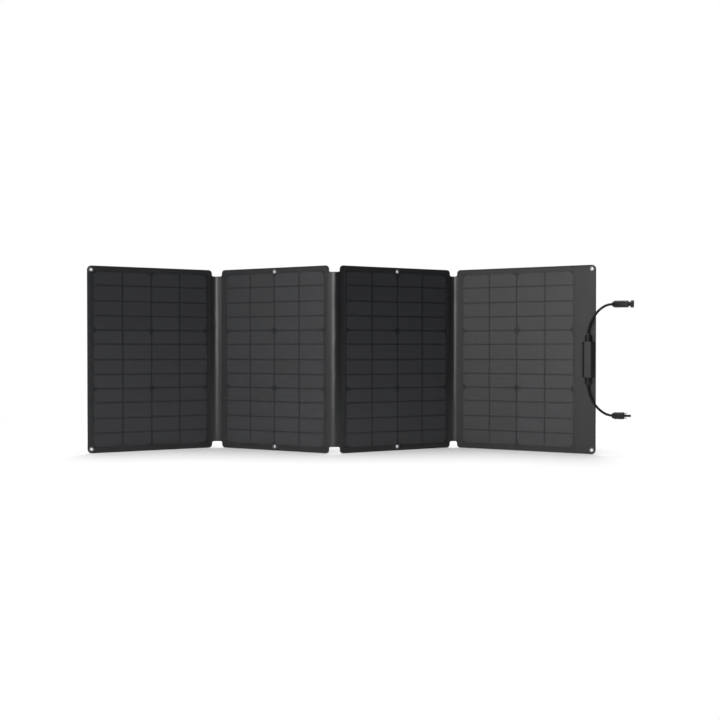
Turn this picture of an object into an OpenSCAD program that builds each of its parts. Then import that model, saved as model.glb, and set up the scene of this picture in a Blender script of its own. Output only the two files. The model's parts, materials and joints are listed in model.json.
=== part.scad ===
// Folding solar blanket: four stiff cell panels joined by three fabric folds, with a
// junction box and two short leads on the last panel. It stands on its bottom hems like a
// folding screen. Origin: middle of the bottom of its bounding box, leads left out.
// +X runs along the blanket towards the junction box, -Y is the cell side, +Z is up.

/* [Panels] */
// Width of a panel
panel_w = 355; // [350:1:380]
// Height of the panels
panel_h = 520; // [516:1:540]
// Extra width of the last panel, which carries the junction box
flap_w = 47; // [47:1:80]
// Radius of the blanket's four outer corners
outer_corner_r = 12; // [8:1:14]
// Radius of the panel corners beside a fold
fold_corner_r = 10; // [6:1:12]
// Turn of each panel out of the flat blanket, in degrees
panel_turn = 26; // [20:1:32]
// Thickness of the front and the back cover
cover_t = 0.8; // [0.6:0.1:1]
// Thickness of the stiff board inside a panel
board_t = 1.5; // [1:0.1:2]

/* [Cells] */
// Columns of cells on a panel
cell_columns = 4; // [2:2:4]
// Rows of cells on a panel
cell_rows = 12; // [4:4:12]
// Width of a column, with its gap
column_pitch = 81; // [70:1:81]
// Height of a whole cell, with its gaps
wafer_pitch = 163.5; // [120:0.5:164]
// Gap between two columns
column_gap = 2.5; // [2:0.5:4]
// Gap between two rows
row_gap = 2; // [1:0.5:2]
// Cut corner of a whole cell
cell_cut = 10; // [4:0.5:10]

/* [Folds] */
// Distance from the panels' edges to the first fold's axis
fold_reach_1 = 15; // [12:0.5:16]
// Distance from the panels' edges to the second fold's axis
fold_reach_2 = 15; // [12:0.5:16]
// Distance from the panels' edges to the third fold's axis
fold_reach_3 = 10.5; // [9:0.5:16]
// Distance from the top hem down to the top of the fold strip
fold_recess = 18; // [14:1:24]
// Gap between two closed faces, halved
fold_gap = 1.2; // [1:0.1:2]
// Thickness of a fold strip
strip_t = 1.6; // [1.4:0.1:1.8]

/* [Eyelets] */
// Hole of an eyelet
eyelet_hole_d = 7; // [5:0.5:8]
// Flange of an eyelet
eyelet_flange_d = 13.5; // [12:0.5:15]
// Distance from a hem to the eyelet's centre
eyelet_inset = 11; // [10.5:0.5:14]

/* [Junction box] */
// Width of the box at its foot
box_w = 35; // [32:1:36]
// Width of the box at its flat front
box_face_w = 18; // [16:1:20]
// Length of the box
box_len = 98; // [90:1:110]
// Depth of the box in front of the cover
box_depth = 20; // [19:0.5:24]
// Diameter of the cable glands
gland_d = 18.5; // [17:0.5:19]
// Length of a gland with its nut
gland_len = 21; // [20:1:24]

/* [Leads] */
// Diameter of the two leads
lead_d = 6.8; // [5:0.2:7]
// Diameter of the connectors
connector_d = 19; // [17:0.5:19]

/* [Hidden] */
$fn = 48;

// Colours of the materials.
cover_colour = [0.19, 0.19, 0.2];
cell_colour = [0.22, 0.22, 0.25];
film_colour = [0.5, 0.55, 0.6, 0.3];
board_colour = [0.75, 0.75, 0.7];
copper_colour = [0.75, 0.45, 0.3];
eyelet_colour = [0.75, 0.76, 0.78];
shell_colour = [0.1, 0.1, 0.11];
nut_colour = [0.05, 0.05, 0.06];
rubber_colour = [0.15, 0.15, 0.15];
tin_colour = [0.8, 0.8, 0.78];

// Room cut around a piece that lies in another one.
slack = 0.05;
// A cut runs this far past the face that it opens.
past = 1;

fold_reach = [fold_reach_1, fold_reach_2, fold_reach_3];

// Depths behind a panel's front plane.
film_skin = 0.3;
cell_t = 0.25;
ribbon_t = 0.15;
post_front = film_skin + cell_t;
cover_front = post_front + ribbon_t + 0.3;
board_front = cover_front + cover_t;
board_back = board_front + board_t;
panel_t = board_back + cover_t;
strip_mid = cover_front + strip_t / 2;

// Cells.
panels = 4;
cells_from_left = [15.5, 17.5, 18, 17.5];
columns_per_cell = 2;
rows_per_cell = 4;
row_shares = [0, 0.243, 0.495, 0.761];
function row_line(row) =
    wafer_pitch * (floor(row / rows_per_cell) + row_shares[row % rows_per_cell]);
cells_w = cell_columns * column_pitch;
cells_h = row_line(cell_rows);
cells_bottom = (panel_h - cells_h) / 2;
film_rim = 5;
film_wall = 1;
link_w = 6;
link_len = 12;

// Board and hem.
hem_w = 6;

// Conductors that cross the folds, and the ribbons that lead to them.
conductor_z = [60, 448];
conductor_h = 12;
conductor_t = 0.3;
lead_out_w = conductor_h;
lead_out_len = 40;
post_w = 4;

// Plan geometry. Panels are counted from 0 at the left, and fold i joins panels i and i + 1.
function turn_of(i) = i % 2 == 0 ? panel_turn : -panel_turn;
function along(i) = [cos(turn_of(i)), sin(turn_of(i))];
function facing(i) = [sin(turn_of(i)), -cos(turn_of(i))];
function width_of(i) = panel_w + (i == panels - 1 ? flap_w : 0);
function is_valley(i) = i % 2 == 0;
function axis_depth(i) = is_valley(i) ? fold_gap : -(panel_t + fold_gap);
function raw_axis(i) =
    raw_start(i) + along(i) * (width_of(i) + fold_reach[i]) + facing(i) * axis_depth(i);
function raw_start(i) =
    i == 0 ? [0, 0]
    : raw_axis(i - 1) + along(i) * fold_reach[i - 1] - facing(i) * axis_depth(i - 1);
function raw_place(i, x, y) = raw_start(i) + along(i) * x - facing(i) * y;

// A fold strip is an arc that leaves both panels in line with them.
function strip_end(i) = raw_place(i, width_of(i), strip_mid);
function next_strip_end(i) = raw_place(i + 1, 0, strip_mid);
function strip_r(i) = (next_strip_end(i)[0] - strip_end(i)[0]) / 2 / sin(panel_turn);
function strip_centre(i) = strip_end(i) + facing(i) * strip_r(i) * (is_valley(i) ? 1 : -1);

// The junction box stands on the last panel's flap.
box_x = width_of(panels - 1) - 18.5;
box_z = panel_h / 2;
pad_t = 0.6;
box_back = cover_front - pad_t;
box_front = cover_front - box_depth;
box_foot_h = 3;
box_wall = 2;
lid_t = 2.6;
gasket_t = 0.6;
gland_y = cover_front - box_depth / 2;

// Middle of the bounding box in plan.
low_x = raw_place(0, 0, panel_t)[0];
high_x = raw_place(panels - 1, width_of(panels - 1), panel_t)[0];
low_y = raw_place(panels - 1, box_x + box_face_w / 2, box_front)[1];
high_y = max([for (i = [0, 2]) strip_centre(i)[1] + strip_r(i) + strip_t / 2]);
middle = [(low_x + high_x) / 2, (low_y + high_y) / 2];
function start_of(i) = raw_start(i) - middle;

// Leads run in an upright plane through the gland axis, turned by this much from +X.
// Their routes are counted from a gland's tip, and start inside the box.
lead_turn = -13;
lead_sides = 10;
lead_rings = 27;
lead_gap = 0.15;
lead_recess = 1;
upper_start = box_z + box_len / 2 + gland_len;
lower_start = box_z - box_len / 2 - gland_len;
upper_route = [
    [0, -28], [0, -12], [0, -1], [0, 5], [3, 20], [10, 37], [20, 55], [33, 69], [48, 78],
    [62, 81]
];
lower_route = [
    [0, 28], [0, 12], [0, 1], [0, -5], [4, -24], [14, -47], [28, -65], [46, -78],
    [62, -82.5]
];
lead_point = raw_place(panels - 1, box_x, gland_y) - middle;

// A smooth curve through a list of points: Catmull-Rom between points n and n + 1.
function kept(points, n) = points[max(0, min(len(points) - 1, n))];
function curve_at(points, n, t) =
    let (a = kept(points, n - 1), b = kept(points, n), c = kept(points, n + 1),
         d = kept(points, n + 2))
    0.5 * (2 * b + (c - a) * t + (2 * a - 5 * b + 4 * c - d) * t * t
           + (3 * b - a - 3 * c + d) * t * t * t);
function route_at(points, part) =
    let (spans = len(points) - 1, n = min(spans - 1, floor(part * spans)))
    curve_at(points, n, part * spans - n);
function slope_at(points, part) =
    part <= 0 ? points[1] - points[0]
    : part >= 1 ? points[len(points) - 1] - points[len(points) - 2]
    : route_at(points, min(1, part + 0.01)) - route_at(points, max(0, part - 0.01));

// ---- Helpers ----

// Draws children, a shape in the panel's own face, from one depth to another.
module layer(front, back) {
    translate([0, back, 0]) rotate([90, 0, 0]) linear_extrude(back - front) children();
}

module on_panel(i) {
    translate([start_of(i)[0], start_of(i)[1], 0]) rotate([0, 0, turn_of(i)]) children();
}

module corner_waste(r) {
    difference() {
        translate([-past, -past]) square([r + past, r + past]);
        translate([r, r]) circle(r);
    }
}

// A sheet with round corners, which differ at its left and right sides.
module round_sheet(w, h, left_r, right_r) {
    difference() {
        square([w, h]);
        corner_waste(left_r);
        translate([0, h]) mirror([0, 1]) corner_waste(left_r);
        translate([w, 0]) mirror([1, 0]) corner_waste(right_r);
        translate([w, h]) rotate(180) corner_waste(right_r);
    }
}

function left_r_of(i) = i == 0 ? outer_corner_r : fold_corner_r;
function right_r_of(i) = i == panels - 1 ? outer_corner_r : fold_corner_r;

module panel_sheet(i, inset = 0) {
    translate([inset, inset])
        round_sheet(width_of(i) - 2 * inset, panel_h - 2 * inset,
                    left_r_of(i) - inset / 2, right_r_of(i) - inset / 2);
}

// Eyelets sit in the outer corners, or over the middle of a panel's cells.
function eyelet_x(i) =
    i == 0 ? eyelet_inset
    : i == panels - 1 ? width_of(i) - eyelet_inset
    : cells_from_left[i] + cells_w / 2;

module at_eyelets(i) {
    for (z = [eyelet_inset, panel_h - eyelet_inset])
        translate([eyelet_x(i), 0, z]) rotate([-90, 0, 0]) children();
}

// A ring around local Z, from one depth to another.
module ring(outer_d, inner_d, front, back) {
    translate([0, 0, front]) difference() {
        cylinder(h = back - front, d = outer_d);
        translate([0, 0, -past]) cylinder(h = back - front + 2 * past, d = inner_d);
    }
}

eyelet_wall = 0.7;
film_bite_d = eyelet_flange_d + 0.5;
eyelet_barrel_d = eyelet_hole_d + 2 * eyelet_wall;
flange_t = 0.8;

module eyelet_holes(i) {
    at_eyelets(i) cylinder(h = panel_t + past, d = eyelet_barrel_d + 2 * slack);
}

// The flat ribbons that lead from the cells to the panel's sides, under the front cover.
module side_ribbons(i, grow) {
    if (i > 0) for (z = conductor_z)
        translate([-grow, board_front - grow, z - grow])
            cube([lead_out_len + 2 * grow, conductor_t + 2 * grow, lead_out_w + 2 * grow]);
    if (i < panels - 1) for (z = conductor_z)
        translate([width_of(i) - lead_out_len - grow, board_front - grow, z - grow])
            cube([lead_out_len + 2 * grow, conductor_t + 2 * grow, lead_out_w + 2 * grow]);
}

box_ribbon_z = [box_z - 16, box_z + 4];

module box_ribbons(grow) {
    from_x = cells_from_left[panels - 1] + cells_w - lead_out_len / 2;
    for (z = box_ribbon_z)
        translate([from_x - grow, board_front - grow, z - grow])
            cube([box_x + post_w / 2 - from_x + 2 * grow, conductor_t + 2 * grow,
                  lead_out_w + 2 * grow]);
}

// The short posts that join the ribbons to the cells, through the front cover.
module ribbon_posts(i, grow) {
    left = [for (z = conductor_z) if (i > 0) [lead_out_len - post_w, z]];
    right = [for (z = conductor_z)
             if (i < panels - 1) [width_of(i) - lead_out_len, z]];
    box = [for (z = box_ribbon_z)
           if (i == panels - 1) [cells_from_left[i] + cells_w - lead_out_len / 2, z]];
    for (p = concat(left, right, box))
        translate([p[0] - grow, post_front - grow, p[1] + lead_out_w / 2 - post_w / 2 - grow])
            cube([post_w + 2 * grow, board_front - post_front + 2 * grow,
                  post_w + 2 * grow]);
}

// The posts that rise from the box ribbons into the junction box.
module box_posts(grow) {
    for (z = box_ribbon_z)
        translate([box_x - post_w / 2 - grow, box_back - box_wall - grow,
                   z + lead_out_w / 2 - post_w / 2 - grow])
            cube([post_w + 2 * grow, board_front - box_back + box_wall + 2 * grow,
                  post_w + 2 * grow]);
}

// ---- Panels ----

module film(i) {
    color(film_colour) on_panel(i) difference() {
        layer(0, cover_front)
            translate([cells_from_left[i] - film_rim, cells_bottom - film_rim])
                square([cells_w + 2 * film_rim, cells_h + 2 * film_rim]);
        layer(film_skin, cover_front + past)
            difference() {
                translate([cells_from_left[i], cells_bottom]) square([cells_w, cells_h]);
                for (z = [eyelet_inset, panel_h - eyelet_inset])
                    translate([eyelet_x(i), z]) circle(d = film_bite_d + 2 * film_wall);
            }
        at_eyelets(i) translate([0, 0, -past])
            cylinder(h = cover_front + 2 * past, d = film_bite_d);
    }
}

// One cell of the grid. A whole cell's outer corners are cut.
module cell(column, row) {
    x0 = column * column_pitch + column_gap / 2;
    x1 = (column + 1) * column_pitch - column_gap / 2;
    z0 = row_line(row) + row_gap / 2;
    z1 = row_line(row + 1) - row_gap / 2;
    left = column % columns_per_cell == 0 ? cell_cut : 0;
    right = column % columns_per_cell == columns_per_cell - 1 ? cell_cut : 0;
    bottom = row % rows_per_cell == 0 ? 1 : 0;
    top = row % rows_per_cell == rows_per_cell - 1 ? 1 : 0;
    polygon(concat(
        left * bottom > 0 ? [[x0, z0 + left], [x0 + left, z0]] : [[x0, z0]],
        right * bottom > 0 ? [[x1 - right, z0], [x1, z0 + right]] : [[x1, z0]],
        right * top > 0 ? [[x1, z1 - right], [x1 - right, z1]] : [[x1, z1]],
        left * top > 0 ? [[x0 + left, z1], [x0, z1 - left]] : [[x0, z1]]
    ));
}

module cells(i) {
    color(cell_colour) on_panel(i)
        for (column = [0:cell_columns - 1], row = [0:cell_rows - 1])
            layer(film_skin, film_skin + cell_t)
                translate([cells_from_left[i], cells_bottom]) cell(column, row);
}

// Links behind the cells, ribbons to the folds and to the box, and their posts.
module ribbons(i) {
    color(copper_colour) on_panel(i) {
        for (column = [0:cell_columns - 1], row = [1:cell_rows - 1])
            layer(post_front, post_front + ribbon_t)
                translate([
                    cells_from_left[i] + (column + 0.5) * column_pitch - link_w / 2,
                    cells_bottom + row_line(row) - link_len / 2
                ]) square([link_w, link_len]);
        side_ribbons(i, 0);
        ribbon_posts(i, 0);
        if (i == panels - 1) {
            box_ribbons(0);
            box_posts(0);
        }
    }
}

module front_cover(i) {
    color(cover_colour) on_panel(i) difference() {
        layer(cover_front, board_front) panel_sheet(i);
        eyelet_holes(i);
        ribbon_posts(i, slack);
        if (i == panels - 1) box_posts(slack);
    }
}

module board(i) {
    color(board_colour) on_panel(i) difference() {
        layer(board_front, board_back) panel_sheet(i, hem_w);
        eyelet_holes(i);
        side_ribbons(i, slack);
        if (i == panels - 1) box_ribbons(slack);
    }
}

module back_cover(i) {
    color(cover_colour) on_panel(i) difference() {
        layer(board_front, panel_t) panel_sheet(i);
        layer(board_front - past, board_back) panel_sheet(i, hem_w);
        eyelet_holes(i);
        side_ribbons(i, slack);
    }
}

// A flange in front and a barrel that runs through the covers.
module eyelets(i) {
    front = cover_front - flange_t;
    color(eyelet_colour) on_panel(i) at_eyelets(i) difference() {
        union() {
            translate([0, 0, front]) cylinder(h = flange_t, d = eyelet_flange_d);
            translate([0, 0, front])
                cylinder(h = panel_t + flange_t - front, d = eyelet_barrel_d);
        }
        translate([0, 0, front - past])
            cylinder(h = panel_t + flange_t - front + 2 * past, d = eyelet_hole_d);
    }
}

module washers(i) {
    color(eyelet_colour) on_panel(i) at_eyelets(i)
        ring(eyelet_flange_d, eyelet_barrel_d + 2 * slack, panel_t, panel_t + flange_t);
}

// ---- Folds ----

// An upright band of the fold's arc.
module fold_band(i, thickness, bottom, height, depth = strip_mid) {
    centre = strip_centre(i) - middle;
    side = is_valley(i) ? 1 : -1;
    r = strip_r(i) + side * (depth - strip_mid);
    translate([centre[0], centre[1], bottom])
        rotate([0, 0, 180 * (is_valley(i) ? 0 : 1) + 90 - panel_turn])
            rotate_extrude(angle = 2 * panel_turn)
                translate([r - thickness / 2, 0]) square([thickness, height]);
}

conductor_mid = board_front + conductor_t / 2;

module fold_strip(i) {
    color(cover_colour) difference() {
        fold_band(i, strip_t, fold_recess, panel_h - 2 * fold_recess);
        for (z = conductor_z)
            fold_band(i, conductor_t + 2 * slack, z - slack, conductor_h + 2 * slack,
                      conductor_mid);
    }
}

module fold_conductors(i) {
    color(copper_colour) for (z = conductor_z)
        fold_band(i, conductor_t, z, conductor_h, conductor_mid);
}

// ---- Junction box ----

box_foot = box_back - box_foot_h;
box_slope = (box_w - box_face_w) / 2 / (box_foot - box_front);

function box_half(depth) = box_w / 2 - box_slope * max(0, box_foot - depth);

// The box's outline seen along its length, from one depth to another. Its sides are
// upright at the foot and slope in above it.
module box_outline(inset, back, front) {
    right = concat(
        [[box_half(front) - inset, front]],
        back > box_foot ? [[box_half(box_foot) - inset, box_foot]] : [],
        [[box_half(back) - inset, back]]
    );
    left = [for (n = [len(right) - 1:-1:0]) [-right[n][0], right[n][1]]];
    polygon(concat(right, left));
}

// A length of that outline, centred on the box's height.
module box_length(inset, back, front, length) {
    translate([box_x, 0, box_z - length / 2])
        linear_extrude(length) box_outline(inset, back, front);
}

lid_back = box_front + lid_t;
gasket_back = lid_back + gasket_t;
ear_w = 1.5;
ear_len = 5;

module box_pad() {
    color(rubber_colour) on_panel(panels - 1) difference() {
        translate([box_x - box_w / 2 + 1, box_back, box_z - box_len / 2 + 1])
            cube([box_w - 2, pad_t, box_len - 2]);
        box_posts(slack);
    }
}

module at_glands() {
    for (up = [0, 1])
        translate([box_x, gland_y, box_z]) mirror([0, 0, 1 - up])
            translate([0, 0, box_len / 2]) children();
}

gland_thread_d = 12;
gland_ring_len = 7;
gland_spigot_len = 6;
nut_back_len = 8;

module box_base() {
    color(shell_colour) on_panel(panels - 1) difference() {
        union() {
            box_length(0, box_back, gasket_back, box_len);
            for (side = [-1, 1], end = [-1, 1])
                translate([box_x + side * (box_w / 2 - 0.5), box_back - box_foot_h / 2,
                           box_z + end * (box_len - ear_len) / 2])
                    cube([2 * ear_w, box_foot_h, ear_len], center = true);
        }
        box_length(box_wall, box_back - box_wall, gasket_back - past, box_len - 2 * box_wall);
        at_glands() translate([0, 0, -box_wall - past])
            cylinder(h = box_wall + 2 * past, d = gland_thread_d + 2 * slack);
        box_posts(slack);
    }
}

module box_gasket() {
    color(rubber_colour) on_panel(panels - 1) difference() {
        box_length(0.4, gasket_back, lid_back, box_len - 0.8);
        box_length(box_wall, gasket_back + past, lid_back - past, box_len - 2 * box_wall);
    }
}

module box_lid() {
    color(shell_colour) on_panel(panels - 1) box_length(0, lid_back, box_front, box_len);
}

module box_terminals() {
    floor_y = box_back - box_wall;
    color(tin_colour) on_panel(panels - 1) for (z = box_ribbon_z)
        translate([box_x - 5, floor_y - 4, z + lead_out_w / 2 - 3]) cube([10, 4, 6]);
}

module box_diode() {
    floor_y = box_back - box_wall;
    color(nut_colour) on_panel(panels - 1)
        translate([box_x - 4, floor_y - 3, box_z + 20]) cube([8, 3, 12]);
}

// ---- Glands ----

module gland_bodies() {
    color(shell_colour) on_panel(panels - 1) at_glands()
        difference() {
            union() {
                cylinder(h = gland_ring_len, d = gland_d);
                translate([0, 0, -box_wall - 1])
                    cylinder(h = box_wall + 1 + slack, d = gland_thread_d);
                translate([0, 0, gland_ring_len - slack])
                    cylinder(h = gland_spigot_len + slack, d = gland_thread_d);
            }
            translate([0, 0, -box_wall - 1 - past])
                cylinder(h = gland_len, d = lead_d + 2);
        }
}

module gland_nuts() {
    color(nut_colour) on_panel(panels - 1) at_glands()
        difference() {
            union() {
                translate([0, 0, gland_ring_len]) cylinder(h = nut_back_len, d = gland_d);
                translate([0, 0, gland_ring_len + nut_back_len])
                    cylinder(h = gland_len - gland_ring_len - nut_back_len, d1 = gland_d,
                             d2 = lead_d + 5);
            }
            translate([0, 0, gland_ring_len - past])
                cylinder(h = gland_spigot_len + 3 + past, d = gland_thread_d + 2 * slack);
            cylinder(h = gland_len + past, d = lead_d + 2 * lead_gap);
        }
}

module gland_seals() {
    color(rubber_colour) on_panel(panels - 1) at_glands()
        ring(gland_thread_d - 0.4, lead_d + 2 * lead_gap,
             gland_ring_len + gland_spigot_len + slack,
             gland_ring_len + gland_spigot_len + 3 - slack);
}

// ---- Leads ----

module in_lead_plane() {
    translate([lead_point[0], lead_point[1], 0]) rotate([0, 0, lead_turn]) children();
}

// A tube swept along a route in the lead plane.
module lead(route, start_z) {
    rings = [
        for (n = [0:lead_rings])
            let (part = n / lead_rings, p = route_at(route, part), s = slope_at(route, part),
                 turn = atan2(s[1], s[0]))
            for (k = [0:lead_sides - 1])
                let (a = 360 * k / lead_sides, out = cos(a) * lead_d / 2)
                [p[0] - sin(turn) * out, sin(a) * lead_d / 2, start_z + p[1] + cos(turn) * out]
    ];
    walls = [
        for (n = [0:lead_rings - 1], k = [0:lead_sides - 1])
            let (next = (k + 1) % lead_sides, low = n * lead_sides, high = low + lead_sides)
            [low + k, low + next, high + next, high + k]
    ];
    first = [for (k = [0:lead_sides - 1]) lead_sides - 1 - k];
    last = [for (k = [0:lead_sides - 1]) lead_rings * lead_sides + k];
    color(nut_colour) in_lead_plane() polyhedron(rings, concat(walls, [first, last]));
}

module lead_upper() { lead(upper_route, upper_start); }
module lead_lower() { lead(lower_route, lower_start); }

// ---- Connectors ----

// Puts children on a lead's far end, their Z along the connector.
module at_lead_end(route, start_z) {
    end = route[len(route) - 1];
    in_lead_plane() translate([end[0], 0, start_z + end[1]]) rotate([0, 90, 0]) children();
}

nut_cone_len = 7;
nut_len = 22.5;
nut_tip_d = 11;
socket_body_len = 21.3;
socket_neck_len = 4;
socket_mouth_len = 9.5;
socket_neck_d = 11;
socket_mouth_d = 20;
socket_hole_d = 7;
socket_hole_len = 20;
plug_nut_len = 20;
plug_body_len = 14;
plug_nose_d = 6.3;
plug_nose_len = 16.5;
contact_d = 3;
seal_t = 0.8;

module lead_nut(length) {
    color(nut_colour) difference() {
        union() {
            cylinder(h = nut_cone_len, d1 = nut_tip_d, d2 = connector_d);
            translate([0, 0, nut_cone_len])
                cylinder(h = length - nut_cone_len, d = connector_d);
        }
        translate([0, 0, nut_cone_len - 2])
            cylinder(h = length, d = connector_d - 5);
        translate([0, 0, -past])
            cylinder(h = past + lead_recess, d = lead_d + 2 * lead_recess);
    }
}

module socket_nut() { at_lead_end(upper_route, upper_start) lead_nut(nut_len); }

module socket_housing() {
    length = nut_len + socket_body_len + socket_neck_len + socket_mouth_len;
    color(shell_colour) at_lead_end(upper_route, upper_start) difference() {
        union() {
            translate([0, 0, nut_cone_len])
                cylinder(h = nut_len - nut_cone_len + slack, d = connector_d - 6);
            translate([0, 0, nut_len]) cylinder(h = socket_body_len, d = connector_d);
            translate([0, 0, nut_len + socket_body_len - slack])
                cylinder(h = socket_neck_len + 2 * slack, d = socket_neck_d);
            translate([0, 0, length - socket_mouth_len])
                cylinder(h = socket_mouth_len, d = socket_mouth_d);
        }
        translate([0, 0, length - socket_hole_len])
            cylinder(h = socket_hole_len + past, d = socket_hole_d);
        translate([0, 0, nut_cone_len - past])
            cylinder(h = length - socket_hole_len - nut_cone_len + 2 * past,
                     d = contact_d + 2 * slack);
    }
}

module socket_contact() {
    length = nut_len + socket_body_len + socket_neck_len + socket_mouth_len;
    color(copper_colour) at_lead_end(upper_route, upper_start)
        translate([0, 0, nut_cone_len])
            cylinder(h = length - socket_hole_len - nut_cone_len, d = contact_d);
}

module socket_seal() {
    color(rubber_colour) at_lead_end(upper_route, upper_start)
        translate([0, 0, nut_len + socket_body_len])
            ring(socket_neck_d + 2 * seal_t, socket_neck_d + 2 * slack, 0.5, 2.5);
}

module plug_nut() { at_lead_end(lower_route, lower_start) lead_nut(plug_nut_len); }

module plug_housing() {
    body_end = plug_nut_len + plug_body_len;
    color(shell_colour) at_lead_end(lower_route, lower_start) difference() {
        union() {
            translate([0, 0, nut_cone_len])
                cylinder(h = plug_nut_len - nut_cone_len + slack, d = connector_d - 6);
            translate([0, 0, plug_nut_len])
                cylinder(h = plug_body_len - 4, d = connector_d + 0.5);
            translate([0, 0, body_end - 4])
                cylinder(h = 4, d1 = connector_d + 0.5, d2 = connector_d - 3);
            translate([0, 0, body_end - slack])
                cylinder(h = plug_nose_len + slack, d = plug_nose_d);
            for (side = [-1, 1])
                translate([side * 6.6, 0, body_end + 3])
                    cube([1.6, 5, 6 + 2 * slack], center = true);
        }
        translate([0, 0, nut_cone_len - past])
            cylinder(h = body_end + plug_nose_len, d = contact_d + 2 * slack);
    }
}

module plug_contact() {
    body_end = plug_nut_len + plug_body_len;
    color(copper_colour) at_lead_end(lower_route, lower_start)
        translate([0, 0, nut_cone_len])
            cylinder(h = body_end + plug_nose_len - nut_cone_len - 2, d = contact_d);
}

module plug_seal() {
    body_end = plug_nut_len + plug_body_len;
    color(rubber_colour) at_lead_end(lower_route, lower_start)
        translate([0, 0, body_end])
            ring(plug_nose_d + 2 * seal_t, plug_nose_d + 2 * slack, 1, 3);
}

film(0);  // film_1
cells(0);  // cells_1
ribbons(0);  // ribbons_1
front_cover(0);  // front_cover_1
board(0);  // board_1
back_cover(0);  // back_cover_1
eyelets(0);  // eyelets_1
washers(0);  // washers_1
film(1);  // film_2
cells(1);  // cells_2
ribbons(1);  // ribbons_2
front_cover(1);  // front_cover_2
board(1);  // board_2
back_cover(1);  // back_cover_2
eyelets(1);  // eyelets_2
washers(1);  // washers_2
film(2);  // film_3
cells(2);  // cells_3
ribbons(2);  // ribbons_3
front_cover(2);  // front_cover_3
board(2);  // board_3
back_cover(2);  // back_cover_3
eyelets(2);  // eyelets_3
washers(2);  // washers_3
film(3);  // film_4
cells(3);  // cells_4
ribbons(3);  // ribbons_4
front_cover(3);  // front_cover_4
board(3);  // board_4
back_cover(3);  // back_cover_4
eyelets(3);  // eyelets_4
washers(3);  // washers_4
fold_strip(0);  // fold_strip_1
fold_strip(1);  // fold_strip_2
fold_strip(2);  // fold_strip_3
fold_conductors(0);  // fold_conductors_1
fold_conductors(1);  // fold_conductors_2
fold_conductors(2);  // fold_conductors_3
box_pad();
box_base();
box_gasket();
box_lid();
box_terminals();
box_diode();
gland_bodies();
gland_nuts();
gland_seals();
lead_upper();
lead_lower();
socket_housing();
socket_nut();
socket_contact();
socket_seal();
plug_housing();
plug_nut();
plug_contact();
plug_seal();
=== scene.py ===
"""Looks of a folding solar blanket that stands open like a folding screen: fabric covers,
cells under a clear film, fold strips, eyelets, junction box, leads and connectors."""

import json
import math

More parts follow.
